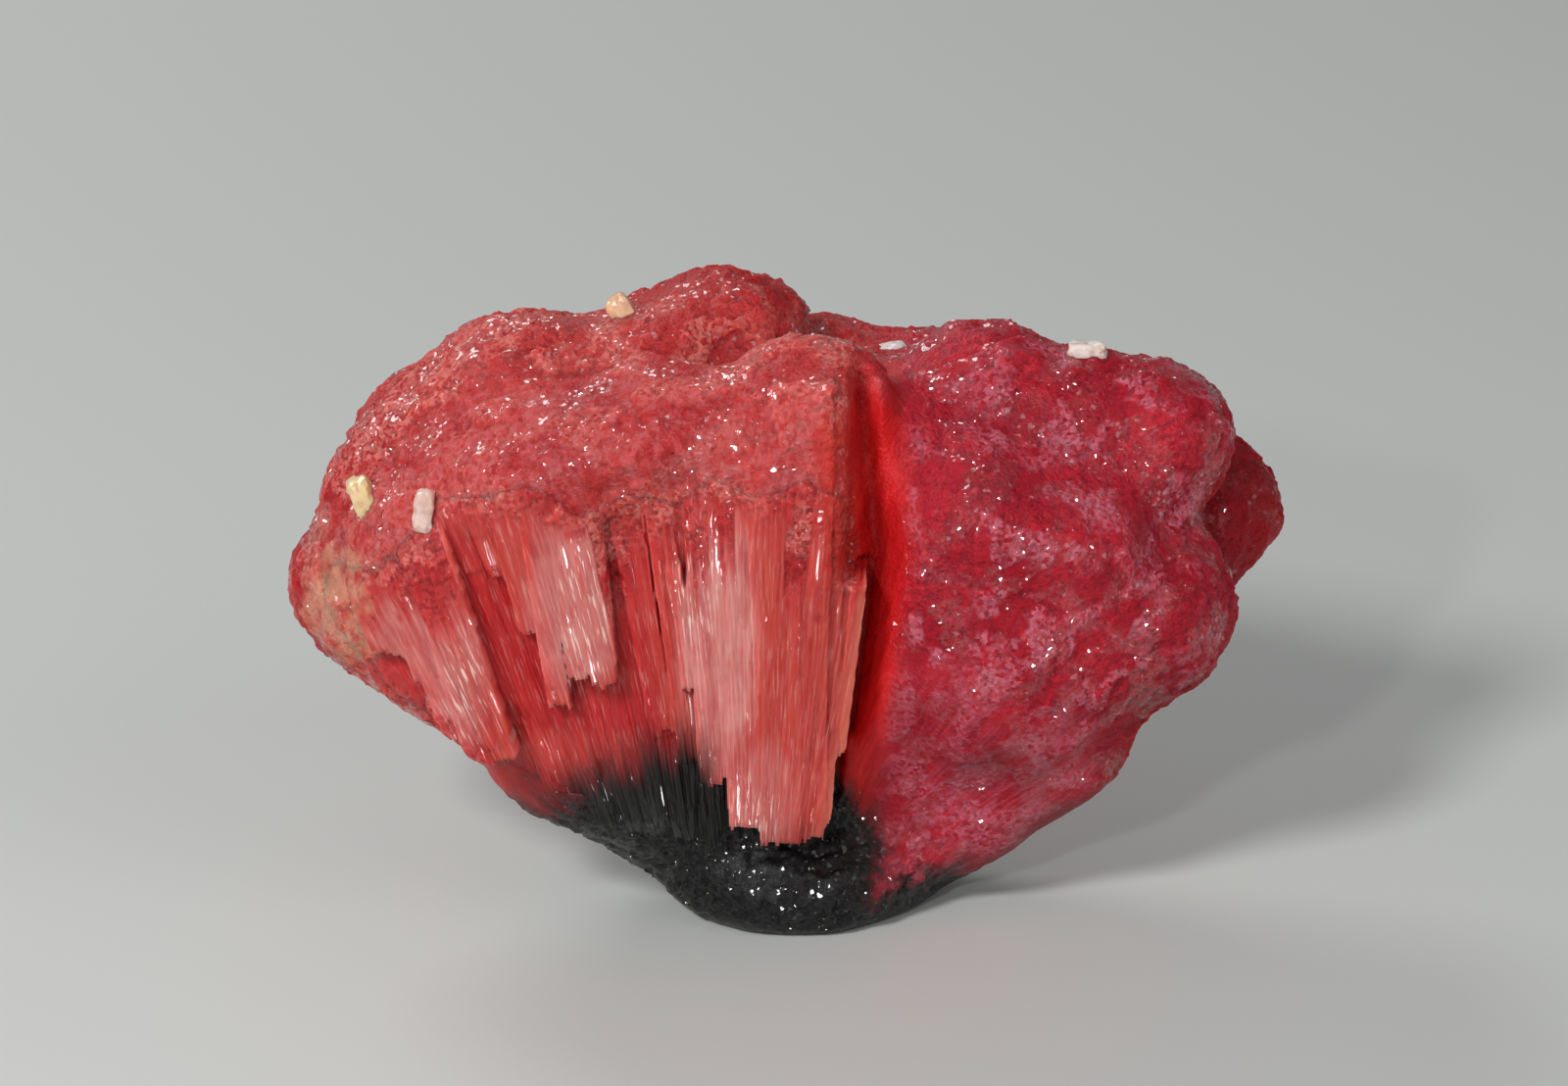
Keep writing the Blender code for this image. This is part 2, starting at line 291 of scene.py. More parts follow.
def srgb(code):
    """A hex colour as the linear numbers that the shader takes."""
    parts = [int(code[i : i + 2], 16) / 255 for i in (1, 3, 5)]
    return (*[c / 12.92 if c <= 0.04045 else ((c + 0.055) / 1.055) ** 2.4 for c in parts], 1.0)


def add(tree, kind, sockets, **settings):
    """Add a node with its settings. A socket gets a plain value, a hex colour or the output that feeds it."""
    made = tree.nodes.new(kind)
    for name, value in settings.items():
        setattr(made, name, value)
    for name, value in sockets.items():
        if isinstance(value, bpy.types.NodeSocket):
            tree.links.new(value, made.inputs[name])
        else:
            made.inputs[name].default_value = srgb(value) if isinstance(value, str) else value
    return made


def new_material(name):
    made = bpy.data.materials.new(name)
    made.use_nodes = True
    return made, made.node_tree, made.node_tree.nodes["Principled BSDF"]


def mottled(tree, place, pitch, low, high, most=1.0):
    """Cloudy spots as wide as pitch, in the unit of place: 0 where the clouds are under low, most over high."""
    sockets = {"Vector": place, "Scale": 1 / pitch, "Detail": 2.0}
    cloud = add(tree, "ShaderNodeTexNoise", sockets).outputs["Fac"]
    sockets = {"Value": cloud, "From Min": low, "From Max": high, "To Max": most}
    return add(tree, "ShaderNodeMapRange", sockets, interpolation_type="SMOOTHSTEP").outputs[0]


def sugared(tree, place, pitch, low, high, most=1.0):
    """The same with hard-edged grains in place of clouds."""
    grains = add(tree, "ShaderNodeTexVoronoi", {"Vector": place, "Scale": 1 / pitch}).outputs["Color"]
    sockets = {"Value": grains, "From Min": low, "From Max": high, "To Max": most}
    return add(tree, "ShaderNodeMapRange", sockets).outputs[0]


def layered(tree, ground, layers):
    """Colours laid over a ground one by one, each by its own share."""
    for share, tint in layers:
        ground = add(tree, "ShaderNodeMix", {0: share, 6: ground, 7: tint}, data_type="RGBA").outputs[2]
    return ground


def glinting(tree, shader, place, pitch, lean, amount):
    """Small flat facets in the skin, each with a slant of its own, that flash where one faces a lamp."""
    cells = add(tree, "ShaderNodeTexVoronoi", {"Vector": place, "Scale": 1 / pitch}).outputs["Color"]
    sockets = {0: cells, 1: (0.5, 0.5, 0.42)}
    centred = add(tree, "ShaderNodeVectorMath", sockets, operation="SUBTRACT").outputs[0]
    tipped = add(tree, "ShaderNodeVectorMath", {0: centred, "Scale": lean}, operation="SCALE").outputs[0]
    straight = add(tree, "ShaderNodeNewGeometry", {}).outputs["Normal"]
    leaned = add(tree, "ShaderNodeVectorMath", {0: tipped, 1: straight}, operation="ADD").outputs[0]
    unit = add(tree, "ShaderNodeVectorMath", {0: leaned}, operation="NORMALIZE").outputs[0]
    tree.links.new(unit, shader.inputs["Coat Normal"])
    tree.links.new(amount, shader.inputs["Coat Weight"])
    shader.inputs["Coat IOR"].default_value = 1.64
    shader.inputs["Coat Roughness"].default_value = 0.08


def glowing(tree, shader, clear):
    """Light goes up to a millimetre into the tourmaline and comes back red, but not where it is black.

    Its IOR would give it a strong gloss, but the needle tips shade each other, so little of that is left.
    """
    tree.links.new(clear, shader.inputs["Subsurface Weight"])
    shader.inputs["Subsurface Radius"].default_value = (1.0, 0.22, 0.2)
    shader.inputs["Subsurface Scale"].default_value = 0.9 * MM
    shader.inputs["IOR"].default_value = 1.63
    shader.inputs["Specular IOR Level"].default_value = 0.16


def zones(tree, mesh):
    """What the mesh says about each of its points, by name."""
    names = [a.name for a in mesh.attributes if a.data_type == "FLOAT"]
    return {name: add(tree, "ShaderNodeAttribute", {}, attribute_name=name).outputs["Fac"] for name in names}


def frost_share(tree, place, zone):
    """How much frost there is: in soft clouds on the left, and on the right in patches with crisp edges."""
    crisp = mottled(tree, place, PATCH_PITCH * MM, 0.46, 0.51, zone["frosted"])
    return add(tree, "ShaderNodeMix", {0: zone["lobe"], 2: zone["frosted"], 3: crisp}).outputs[0]


def crust_colour(tree, place, zone, frost):
    """Clear pink on the left and crimson on the right, with paler frost over it and dark pits in it."""
    clouds = mottled(tree, place, CLOUD_PITCH * MM, 0.36, 0.64)
    pink = layered(tree, "#ac2024", ((clouds, "#be3a38"),))
    crimson = layered(tree, "#a01024", ((clouds, "#b41e30"),))
    frosted = layered(tree, "#d4766e", ((zone["lobe"], "#c46476"),))
    pitted = layered(tree, "#7c0c12", ((zone["lobe"], "#78081c"),))
    return layered(
        tree,
        pink,
        (
            (zone["lobe"], crimson),
            (sugared(tree, place, SPECK_PITCH * MM, 0.2, 0.75, frost), frosted),
            (sugared(tree, place, PIT_PITCH * MM, 0.62, 0.7, zone["pits"]), pitted),
        ),
    )


def crusted_elbaite():
    made, tree, shader = new_material("frosted pink elbaite")
    zone = zones(tree, skin)
    place = add(tree, "ShaderNodeTexCoord", {}).outputs["Object"]
    ray = add(tree, "ShaderNodeAttribute", {}, attribute_name="ray").outputs["Vector"]  # in mm at FLUTE_REACH
    frost = frost_share(tree, place, zone)
    streaky = layered(tree, "#d0666a", ((zone["lobe"], "#bc4a60"),))
    body = layered(
        tree,
        crust_colour(tree, place, zone, frost),
        (
            (mottled(tree, ray, 0.22, 0.42, 0.66, zone["streaks"]), streaky),
            (zone["window"], "#c42c22"),
            # the groove: its own deep red, brightened by a painted glow where it lies in shade
            (zone["groove"], layered(tree, "#c41216", ((mottled(tree, ray, 0.3, 0.35, 0.65), "#dc2020"),))),
            # painted shade over the clear crystal's own deep red, on the rear and on faces turned down
            (zone["rear_red_and_painted_shade"], "#9a0e14"),
            # painted shade on the faces that turn down
            (zone["under"], "#5a1014"),
            (mottled(tree, place, 0.7 * MM, 0.25, 0.65, zone["stain"]), "#d8a484"),
            (zone["black"], "#060404"),
        ),
    )
    tree.links.new(body, shader.inputs["Base Color"])
    glowing(tree, shader, zone["clear"])
    matt = add(tree, "ShaderNodeMapRange", {"Value": zone["frost"], "To Min": 0.45, "To Max": 0.75}).outputs[0]
    tree.links.new(matt, shader.inputs["Roughness"])

    bump = add(tree, "ShaderNodeBump", {"Height": frost, "Strength": 0.8, "Distance": 0.06 * MM}).outputs[0]
    grain = mottled(tree, place, 0.12 * MM, 0.2, 0.8, zone["crust"])
    sockets = {"Height": grain, "Normal": bump, "Strength": 0.9, "Distance": 0.05 * MM}
    bump = add(tree, "ShaderNodeBump", sockets).outputs[0]
    flutes = mottled(tree, ray, 0.16, 0.2, 0.8, zone["flutes"])
    sockets = {"Height": flutes, "Normal": bump, "Strength": 0.5, "Distance": 0.03 * MM}
    tree.links.new(add(tree, "ShaderNodeBump", sockets).outputs[0], shader.inputs["Normal"])
    shine = mottled(tree, place, 1.2 * MM, 0.47, 0.55, zone["sheen"])
    shine = add(tree, "ShaderNodeMath", {0: shine, 1: zone["sparkle"]}, operation="MAXIMUM").outputs[0]
    glinting(tree, shader, place, GLINT_PITCH * MM, 1.4, shine)
    return made


fan.data.materials.clear()
fan.data.materials.append(crusted_elbaite())
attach(fan, "root")
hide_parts("elbaite_crystal")

# The broken front
# The fresh break down the front of the fan: slabs of needles that stand proud, pale where they are bruised,
# and sunk bands between them that look deep into the red. Every strip of needles ends at a height of its own.
# It is a fine sheet of points along the needles, as deep as the solid is there, closed behind inside the fan.
FAN_X, FAN_Z = -1.2, -12.0  # mm, the point that the needles of the break spread from
FAN_RADIUS = 23.0  # mm, the arc that distances across the needles are measured on
COLUMN, ROW = 0.038, 0.12  # mm between points across and along the needles
# The edge of the break, as x, z and how many mm the break takes to settle behind the stretch that starts there,
# which is 0 where it is sharp. It runs left under the cap, down the left side and back along the root, and then
# up the right side of the proud slab.
SOFT_EDGE = (
    (2.15, 15.7, 1.6), (0.9, 16.6, 2.6), (-0.7, 16.0, 2.6), (-2.2, 16.7, 2.6), (-3.4, 15.4, 2.4),
    (-4.9, 15.9, 2.4), (-6.2, 15.2, 2.4), (-7.6, 16.3, 2.8), (-9.3, 15.8, 2.8), (-11.2, 15.5, 2.4),
    (-11.9, 14.1, 1.6), (-13.1, 12.9, 1.6), (-14.4, 12.2, 1.2), (-14.8, 11.1, 1.0), (-13.9, 9.4, 0.8),
    (-12.1, 7.7, 0.8), (-10.3, 6.5, 0.8), (-8.7, 5.3, 0.8), (-6.95, 4.1, 0.8), (-4.9, 3.1, 0.8),
    (-2.4, 2.6, 0.8), (0.9, 2.6, 0.5),
)
SLAB_EDGE = (
    (1.3, 3.0, 0), (1.36, 4.3, 0), (1.62, 4.8, 0), (1.74, 6.7, 0), (2.06, 7.0, 0), (2.72, 12.6, 0),
    (2.14, 13.0, 0.7),
)
BREAK_EDGE = SOFT_EDGE + SLAB_EDGE
RIGHT_EDGE = [(z, x) for x, z, _ in SLAB_EDGE]
SLAB_FOOT, SLAB_TOP = 3.0, 12.9  # mm, the heights that the sharp edge runs between
STRIPS = (  # needle strips: width, length of a piece, step from piece to piece, roundness, seed
    (1.35, 8.0, 0.05, 0.04, 11),
    (0.52, 5.0, 0.035, 0.02, 23),
    (0.155, 3.0, 0.022, 0.02, 37),
)
TUCK = 0.25  # mm that the break dips under the skin at its soft edges


def fan_place(across, along):
    turn = across / FAN_RADIUS
    return FAN_X + along * np.sin(turn), FAN_Z + along * np.cos(turn)


def strip_draw(strip, piece, seed):
    return scatter(np.stack((strip, piece, np.zeros_like(strip)), 1), seed)


def inside_break(x, z):
    inside = np.zeros(len(x), bool)
    for (ax, az, _), (bx, bz, _) in zip(BREAK_EDGE, BREAK_EDGE[1:] + BREAK_EDGE[:1]):
        if az != bz:
            inside ^= ((az > z) != (bz > z)) & (x < (bx - ax) * (z - az) / (bz - az) + ax)
    return inside


def from_edges(x, z):
    """How far each point is from a soft edge, in mm, and how unsettled the break still is there, from 1 to 0."""
    gap = np.full(len(x), 9.0)
    unsettled = np.zeros(len(x))
    for (ax, az, fade), (bx, bz, _) in zip(BREAK_EDGE, BREAK_EDGE[1:] + BREAK_EDGE[:1]):
        if not fade:
            continue
        length = math.hypot(bx - ax, bz - az)
        t = np.clip(((x - ax) * (bx - ax) + (z - az) * (bz - az)) / length**2, 0, 1)
        here = np.hypot(x - ax - t * (bx - ax), z - az - t * (bz - az))
        gap = np.minimum(gap, here)
        unsettled = np.maximum(unsettled, 1 - ramp(here / fade, 0.12, 1.0))
    place = np.stack((x, x * 0, z), 1)
    return gap * (1 + 0.45 * swell(place, 0.6, 77) + 0.25 * swell(place, 0.25, 78)), unsettled


def depth_at(tree, x, z, otherwise):
    """How far back the surface is, seen straight from the front, in mm."""
    out = np.empty(len(x))
    start_y = -30 * MM  # well in front of the crystal
    for i, (px, pz) in enumerate(zip(x * MM, z * MM)):
        hit = tree.ray_cast((px, start_y, pz), (0, 1, 0))[0]
        out[i] = hit[1] / MM if hit else otherwise[i]
    return out


def surface(mesh):
    return BVHTree.FromPolygons([v.co[:] for v in mesh.vertices], [p.vertices[:] for p in mesh.polygons])


def grid_cell(points):
    """The column and row of the sheet that each point is nearest to."""
    dx, dz = points[:, 0] - FAN_X, points[:, 2] - FAN_Z
    column = np.round((np.arctan2(dx, dz) * FAN_RADIUS - columns[0]) / COLUMN)
    row = np.round((np.hypot(dx, dz) - rows[0]) / ROW)
    return np.clip(column, 0, len(columns) - 1).astype(int), np.clip(row, 0, len(rows) - 1).astype(int)


# The sheet of points, laid along the needles, and the relief of the strips on it.
columns = np.arange(-12.8, 4.2, COLUMN)
rows = np.arange(14.2, 29.9, ROW)
across, along = (grid.ravel() for grid in np.meshgrid(columns, rows, indexing="ij"))
x, z = fan_place(across, along)
wander = 0.22 * swell(np.stack((across / 2.2, along / 9, across * 0), 1), 1.0, 5)
relief = np.zeros(len(x))
draws = []
for width, length, step, roundness, seed in STRIPS:
    share = (across + wander) / width
    strip = np.floor(share)
    end = along / length + 9 * strip_draw(strip, strip * 0, seed)
    piece = np.floor(end)
    draws.append((strip_draw(strip, piece, seed + 1), strip_draw(strip, strip * 0, seed + 2)))
    relief += step * (draws[-1][0] * 2 - 1) + step * 0.8 * (0.5 - (end - piece))
    relief += roundness * (1 - (2 * (share - strip) - 1) ** 2)

# How deep the break is: as the calmed skin at its soft edges, and inside as the solid, read a little higher or
# lower for each needle so that the steps of the solid end in splinters.
kept = inside_break(x, z)
solid = surface(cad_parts["elbaite_crystal"].data)
write_points(skin, calm)
calm_skin = surface(skin)
edge_gap, unsettled = from_edges(x, z)
calm_y = np.full(len(x), -3.0)
calm_y[kept] = depth_at(calm_skin, x[kept], z[kept], calm_y[kept])
ragged = (0.7 * (draws[1][1] - 0.5) + 0.25 * (draws[2][1] - 0.5)) * (1 - 0.7 * ramp(6.5 - z, 0, 2))
ragged_x, ragged_z = fan_place(across, along + ragged)
start = 3.4 * (draws[0][1] - 0.3) + 2.2 * (draws[1][1] - 0.5) + 1.4 * (draws[2][1] - 0.5)
start_x, start_z = fan_place(across, along + start * ramp(z, 8, 12) * ramp(1.2 - x, 0, 0.5))
fresh = (1 - from_edges(start_x, start_z)[1]) * inside_break(start_x, start_z) * ramp(edge_gap, 0.3, 1.2)
plain_y = calm_y.copy()
plain_y[kept] = depth_at(solid, x[kept], z[kept], calm_y[kept])
broken_y = plain_y.copy()
broken_y[kept] = depth_at(solid, ragged_x[kept], ragged_z[kept], plain_y[kept])
broken_y = np.where(edge_gap > 1.0, broken_y, plain_y)
right_side = (x > 0.9) & (ragged_z > 4.5) & (z < SLAB_TOP)
broken_y = np.where(right_side, np.minimum(broken_y, -5.2 + 0.4 * ramp(x, 1.0, 2.8)), broken_y)
settled = 1 - unsettled
border = np.stack((x, calm_y, z), 1)
border_crust = crust_amount(border) * (1 - fresh)
border_lift, border_frost = crusted(border)
slab = ramp(-broken_y, 4.6, 4.9) * ramp(x, -2.6, -1.6) * ramp(z, 3.0, 3.8) * (1 - 0.45 * ramp(5.4 - z, 0, 2))
front_black = blackness(border, 0.5 * (draws[1][1] - 0.5) + 0.5 * (draws[2][1] - 0.5)) * (1 - slab)
front_y = calm_y + (broken_y - calm_y) * settled - relief * (0.2 + 0.8 * fresh)
front_y -= border_lift * np.maximum(border_crust, front_black * unsettled)
front_y += TUCK * (1 - ramp(edge_gap, 0, 0.3)) - 0.07 * ramp(edge_gap, 0.1, 0.4)
front_points = np.stack((x, front_y, z), 1)

# The points inside the edge are joined into a sheet, and its rim is carried back to close it inside the fan.
sheet = np.arange(len(x)).reshape(len(columns), len(rows))
corners = np.stack((sheet[:-1, :-1], sheet[1:, :-1], sheet[1:, 1:], sheet[:-1, 1:]), -1).reshape(-1, 4)
corners = corners[kept[corners].all(1)]
used = np.unique(corners)
renumber = np.full(len(x), -1)
renumber[used] = np.arange(len(used))
work = bmesh.new()
made = [work.verts.new(p) for p in (front_points[used] * MM)]
for quad in renumber[corners]:
    work.faces.new([made[i] for i in quad])
sides = [e.link_loops[0] for e in work.edges if e.is_boundary]
rim = [(side.link_loop_next.vert, side.vert) for side in sides]
for back in (0.5, 1.0):
    twin = {a: work.verts.new((a.co.x, a.co.y * (1 - back), a.co.z)) for a, _ in rim}
    for a, b in rim:
        work.faces.new((a, b, twin[b], twin[a]))
    rim = [(twin[a], twin[b]) for a, b in rim]
follow = dict(rim)
lid = [rim[0][0]]
while follow[lid[-1]] != lid[0]:
    lid.append(follow[lid[-1]])
work.faces.new(lid)
bmesh.ops.recalc_face_normals(work, faces=work.faces)
bmesh.ops.triangulate(work, faces=[f for f in work.faces if len(f.verts) > 4])
data = bpy.data.meshes.new("broken front")
work.to_mesh(data)
work.free()
front = new_piece("broken_front", data)

# The skin of the fan is drawn back behind the break, so that only one of them shows.
GAP_BEHIND = 0.3  # mm between the break and the skin behind it
OUTSIDE = -9  # mm, in front of every needle: the depth given to points of the sheet that aren't kept
deepest = np.where(kept, front_y, OUTSIDE).reshape(sheet.shape)
for axis, reach_out in ((0, 5), (1, 2)):
    deepest = np.max([np.roll(deepest, i, axis) for i in range(-reach_out, reach_out + 1)], 0)
behind = deepest[grid_cell(raised)] + GAP_BEHIND
x, y, z = raised.T
hidden = inside_break(x, z) & (y < 0) & (behind > OUTSIDE + 1)
drawn = ramp(from_edges(x, z)[0], 0.65, 1.2)
raised[:, 1] = np.where(hidden, np.maximum(y, y + (behind - y) * drawn), y)
edge_x = line_at(RIGHT_EDGE, z)
beside = ~hidden & (y < -2) & (z > SLAB_FOOT) & (z < SLAB_TOP) & (x > edge_x - 0.1) & (x < edge_x + 0.35)
raised[:, 1] = np.where(beside, np.maximum(raised[:, 1], -2.4), raised[:, 1])
write_points(skin, raised)


def blob(place, middle, half_width, half_height):
    """A soft oval in the plane of the break."""
    gap = np.hypot((place[:, 0] - middle[0]) / half_width, (place[:, 2] - middle[1]) / half_height)
    return ramp(1.25 - gap, 0, 0.6)


# Where each finish lies on the break, from 0 to 1. What stands forward of the sunk bands is proud.
x, y, z = front_points.T
sunk_y = -3.95 - 0.03 * z + 0.75 * ramp(-x, 10.3, 12.8)
proud = ramp(sunk_y - y + 0.06 * (draws[1][0] - 0.5), 0.12, 0.5)
proud = np.maximum(proud, 0.5 * blob(front_points, (-6.6, 6.6), 1.9, 0.9)) * fresh
pale = np.zeros(len(x))
for middle, half_width, half_height, amount in (
    ((-6.4, 12.2), 1.6, 3.2, 0.75),  # the stepped slab
    ((-2.0, 11.0), 1.3, 4.6, 1.0),  # the left third of the proud slab
    ((-0.8, 5.6), 1.3, 2.0, 0.5),  # its foot
    ((-11.8, 9.6), 2.6, 3.4, 0.6),  # the left slabs
):
    pale = np.maximum(pale, amount * blob(front_points, middle, half_width, half_height))
# Where the needles are splintered: there thin white streaks are painted on as highlights, and the coat glints
# too.
splintered_and_painted_glints = np.zeros(len(x))
for middle, half_width, half_height in (
    ((-6.1, 12.0), 0.9, 2.8),  # the right edge of the stepped slab
    ((-2.7, 13.2), 0.8, 2.8),  # the upper left of the proud slab
    ((-0.85, 4.9), 0.8, 1.5),  # its foot
    ((-10.0, 9.0), 0.7, 2.2),  # the middle of the left slabs
):
    splintered_and_painted_glints = np.maximum(splintered_and_painted_glints, blob(front_points, middle, half_width, half_height))
# Painted light: a lighter orange along the proud slab's sharp right edge, where the thin edge lets light through.
slab_rim = ramp(x - line_at(RIGHT_EDGE, z), -0.5, -0.1) * ramp(SLAB_TOP - z, 0, 0.3)
slab_rim = slab_rim * ramp(z, SLAB_FOOT, SLAB_FOOT + 0.5)
own_cell = grid_cell(read_points(data))
for name, values in (
    ("rim", 0.6 * slab_rim),
    ("splintered_and_painted_glints", 0.15 + 0.75 * splintered_and_painted_glints),
    ("unsettled", 1 - fresh),
    ("window", windowed(front_points) * 0.8),
    ("crust", border_crust),
    ("frosted", border_crust * border_frost * 0.9),
    ("pits", border_crust * 0.55),
    ("lobe", np.zeros(len(x))),
    ("proud", proud * 0.9),
    ("pale", pale),
    ("black", front_black),
    ("sparkle", 0.38 * front_black),
    ("clear", 1 - ramp(front_black, 0.1, 0.9)),
    ("stain", stained(front_points) * 0.6),
    ("needle", draws[2][0]),
    ("dark_needle", np.clip(draws[2][0] - 0.6, 0, 1)),
    ("across", across + wander),
    ("along", along * 0.07),
):
    store(data, name, values.reshape(sheet.shape)[own_cell])
data.shade_smooth()


# Elbaite just as clear as the rest, but split along its needles: each is a thin smooth rod, so the break has
# a silky gloss in streaks, and the cracks in the slabs scatter the light and turn them pale. The sizes of its
# threads and bands are in mm across the needles.
def broken_elbaite():
    made, tree, shader = new_material("freshly broken pink elbaite")
    zone = zones(tree, front.data)
    place = add(tree, "ShaderNodeTexCoord", {}).outputs["Object"]
    needles = add(tree, "ShaderNodeCombineXYZ", {0: zone["across"], 1: zone["along"]}).outputs[0]
    threads = mottled(tree, needles, 0.09, 0.4, 0.66, 0.35)
    bands = mottled(tree, needles, 0.6, 0.38, 0.62, 0.6)
    clouds = mottled(tree, place, 1.3 * MM, 0.38, 0.64)
    # Painted highlights: thin white streaks along the needles where they are splintered.
    painted_glint_streaks = mottled(tree, needles, 0.07, 0.56, 0.66, zone["splintered_and_painted_glints"])

    salmon = layered(tree, "#ba3c34", ((bands, "#c64e42"), (clouds, "#c24640"), (threads, "#d67068")))
    bruised = layered(tree, "#cc7472", ((clouds, "#d68c86"), (threads, "#e4b0a8")))
    body = layered(
        tree,
        "#ac141a",
        (
            (bands, "#c02c2e"),
            (threads, "#cc4444"),
            (zone["proud"], layered(tree, salmon, ((zone["pale"], bruised),))),
            (zone["dark_needle"], "#961418"),
            # painted highlights on the splintered needles
            (painted_glint_streaks, "#f0ccc2"),
            # painted light along the thin right edge of the proud slab
            (zone["rim"], "#e07864"),
            (zone["unsettled"], crust_colour(tree, place, zone, zone["frosted"])),
            (zone["window"], "#c42c22"),
            (mottled(tree, place, 0.7 * MM, 0.25, 0.65, zone["stain"]), "#d8a484"),
            (zone["black"], "#060404"),
        ),
    )
    tree.links.new(body, shader.inputs["Base Color"])
    glowing(tree, shader, zone["clear"])
    matt = add(tree, "ShaderNodeMapRange", {"Value": zone["needle"], "To Min": 0.3, "To Max": 0.6}).outputs[0]
    tree.links.new(matt, shader.inputs["Roughness"])
    height = mottled(tree, place, 0.14 * MM, 0.2, 0.8, zone["crust"])
    bump = add(tree, "ShaderNodeBump", {"Height": height, "Strength": 0.7, "Distance": 0.04 * MM}).outputs[0]
    height = mottled(tree, needles, 0.1, 0.2, 0.8)
    sockets = {"Height": height, "Normal": bump, "Strength": 0.6, "Distance": 0.025 * MM}
    tree.links.new(add(tree, "ShaderNodeBump", sockets).outputs[0], shader.inputs["Normal"])
    shine = mottled(tree, needles, 0.5, 0.35, 0.5, zone["splintered_and_painted_glints"])
    shine = add(tree, "ShaderNodeMath", {0: shine, 1: zone["sparkle"]}, operation="MAXIMUM").outputs[0]
    glinting(tree, shader, needles, 0.1, 1.3, shine)
    return made


front.data.materials.append(broken_elbaite())
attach(front, "root")
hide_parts("elbaite_crystal")

# The pale grains
# Small crystals of a pale feldspar, cream to nearly white, that settled on the crust late.
# Each is a rounded block with flat sides that sits half in the crust.
GRAINS = (  # middle, then length, width and thickness in mm, lean to the right in degrees, colour
    ((-13.1, -2.3, 14.4), (1.75, 0.75, 1.0), -24, "#e6d2a0"),
    ((-11.2, -4.5, 14.9), (1.35, 0.6, 0.7), 8, "#e2c6be"),
    ((-5.0, 1.3, 19.5), (0.8, 1.3, 0.8), 60, "#e2bc98"),
    ((3.6, 3.9, 17.4), (0.8, 0.5, 0.6), 85, "#dfd9d8"),
    ((9.8, 1.1, 18.3), (1.2, 0.6, 0.6), 88, "#e6dcd6"),
)


def grain_mesh(middle, size, lean, seed):
    work = bmesh.new()
    bmesh.ops.create_icosphere(work, subdivisions=3, radius=1.0)
    unit = np.array([v.co[:] for v in work.verts])
    boxy = unit / (np.abs(unit) ** 5).sum(1, keepdims=True) ** (1 / 5)
    length, wide, thick = size
    shape = boxy * (wide / 2, thick / 2, length / 2)
    height, slant, _ = facets(shape + seed, 0.45, 51 + seed)
    shape = shape + unit * (0.03 * height + 0.08 * slant + 0.03 * swell(shape + seed, 0.5, 52))[:, None]
    turn = math.radians(lean)
    x, y, z = shape.T
    shape = np.stack((x * math.cos(turn) + z * math.sin(turn), y, z * math.cos(turn) - x * math.sin(turn)), 1)
    for v, p in zip(work.verts, (shape + middle) * MM):
        v.co = p
    data = bpy.data.meshes.new("pale grain")
    work.to_mesh(data)
    work.free()
    return data


# Feldspar as it grew: cloudy inside, so the light goes a little way in and it looks milky, with a smooth skin
# that keeps a soft gloss and pinkish stains from the tourmaline round it.
def milky_feldspar(name, colour):
    made, tree, shader = new_material(name)
    place = add(tree, "ShaderNodeTexCoord", {}).outputs["Object"]
    body = layered(tree, colour, ((mottled(tree, place, 0.35 * MM, 0.4, 0.65, 0.45), "#c99a84"),))
    tree.links.new(body, shader.inputs["Base Color"])
    shader.inputs["Subsurface Weight"].default_value = 1.0
    shader.inputs["Subsurface Radius"].default_value = (1.0, 0.8, 0.6)
    shader.inputs["Subsurface Scale"].default_value = 0.25 * MM
    shader.inputs["IOR"].default_value = 1.54
    shader.inputs["Roughness"].default_value = 0.25
    return made


for number, (middle, size, lean, colour) in enumerate(GRAINS):
    seed = number * 7  # facets draws seven numbers for each crystal
    grain = new_piece(f"pale_grain_{number + 1}", grain_mesh(middle, size, lean, seed))
    grain.data.materials.append(milky_feldspar(f"milky feldspar {number + 1}", colour))
    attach(grain, "root")
    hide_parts("elbaite_crystal")

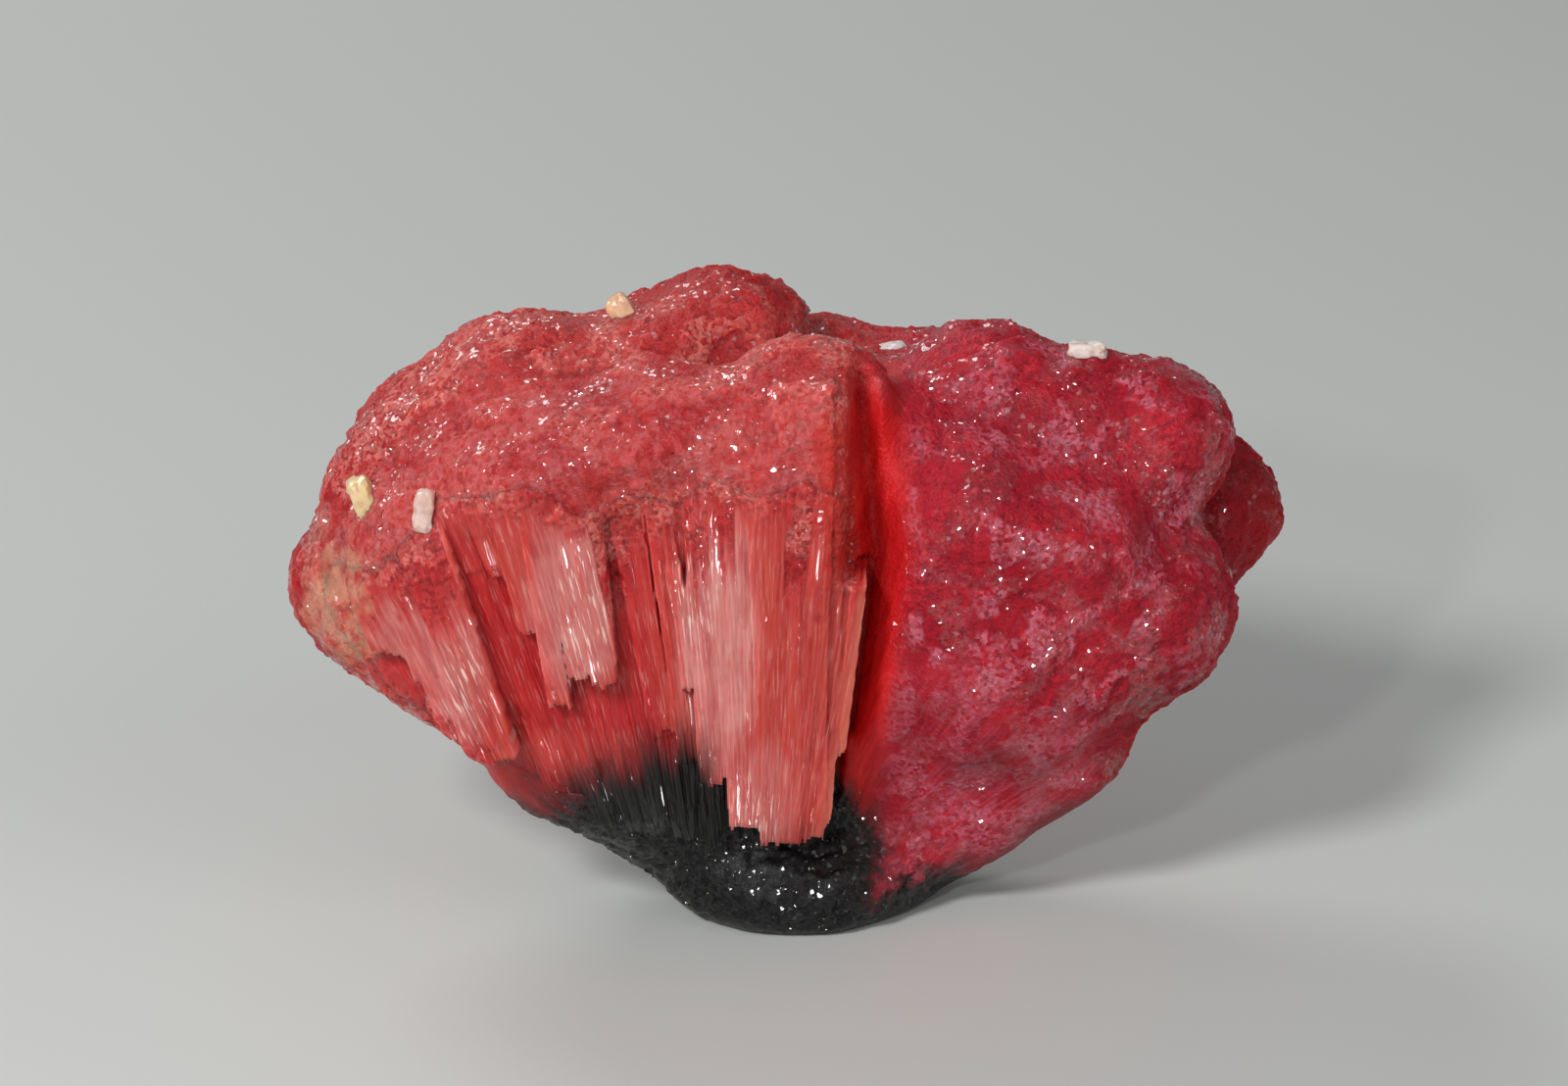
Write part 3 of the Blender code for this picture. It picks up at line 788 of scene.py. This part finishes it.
# The table it stands on, the lamps and the camera
# A plain pale table in soft studio light, with one smaller lamp at the left that makes the needles glint.
# The camera looks down on the broken front by twenty degrees, as in the photograph.
PICTURE_WIDE = 50.2  # mm that the picture takes in across at the crystal
LOOKING_DOWN = math.radians(20)
CAMERA_AWAY = 250.0  # mm from the point that it looks at
LOOK_AT = Vector((0.1, 0, 12.2))
SENSOR_WIDE = 36  # mm
LAMPS_AIM_AT = Vector((0, 0, 10))
TABLE_REACH = 900  # mm from the middle of the table to its edges


def lamp(name, place, wide, power):
    """A round lamp: its place and width in mm and its power in watts."""
    data = bpy.data.lights.new(name, "AREA")
    data.shape = "DISK"
    data.size = wide * MM
    data.energy = power
    made = new_piece(name, data)
    made.location = Vector(place) * MM
    made.rotation_mode = "QUATERNION"
    made.rotation_quaternion = (LAMPS_AIM_AT - Vector(place)).to_track_quat("-Z", "Y")


work = bmesh.new()
bmesh.ops.create_grid(work, x_segments=1, y_segments=1, size=TABLE_REACH * MM)
data = bpy.data.meshes.new("table")
work.to_mesh(data)
work.free()
table = new_piece("table", data)
# Painted board: matt, so it takes a soft shadow and mirrors nothing.
table_finish, _, table_shader = new_material("matt painted board")
table_shader.inputs["Base Color"].default_value = srgb("#c9cbc8")
table_shader.inputs["Roughness"].default_value = 0.6
table.data.materials.append(table_finish)

lamp("key_lamp", (-120, -200, 190), 60, 0.56)
lamp("glint_lamp", (-60, -230, 120), 14, 0.12)
lamp("soft_lamp", (240, -170, 170), 200, 0.17)
lamp("back_lamp", (-120, 200, 180), 120, 0.23)
world = bpy.data.worlds.new("studio")
world.use_nodes = True
world.node_tree.nodes["Background"].inputs["Color"].default_value = srgb("#dfe2e4")
world.node_tree.nodes["Background"].inputs["Strength"].default_value = 0.25
bpy.context.scene.world = world
bpy.context.scene.view_settings.view_transform = "Standard"

data = bpy.data.cameras.new("camera")
data.sensor_width = SENSOR_WIDE
data.lens = SENSOR_WIDE * CAMERA_AWAY / PICTURE_WIDE
data.clip_start = 10 * MM
data.clip_end = 5
camera = new_piece("camera", data)
back = Vector((0, -math.cos(LOOKING_DOWN), math.sin(LOOKING_DOWN)))
camera.location = (LOOK_AT + back * CAMERA_AWAY) * MM
camera.rotation_mode = "QUATERNION"
camera.rotation_quaternion = (-back).to_track_quat("-Z", "Y")
bpy.context.scene.camera = camera
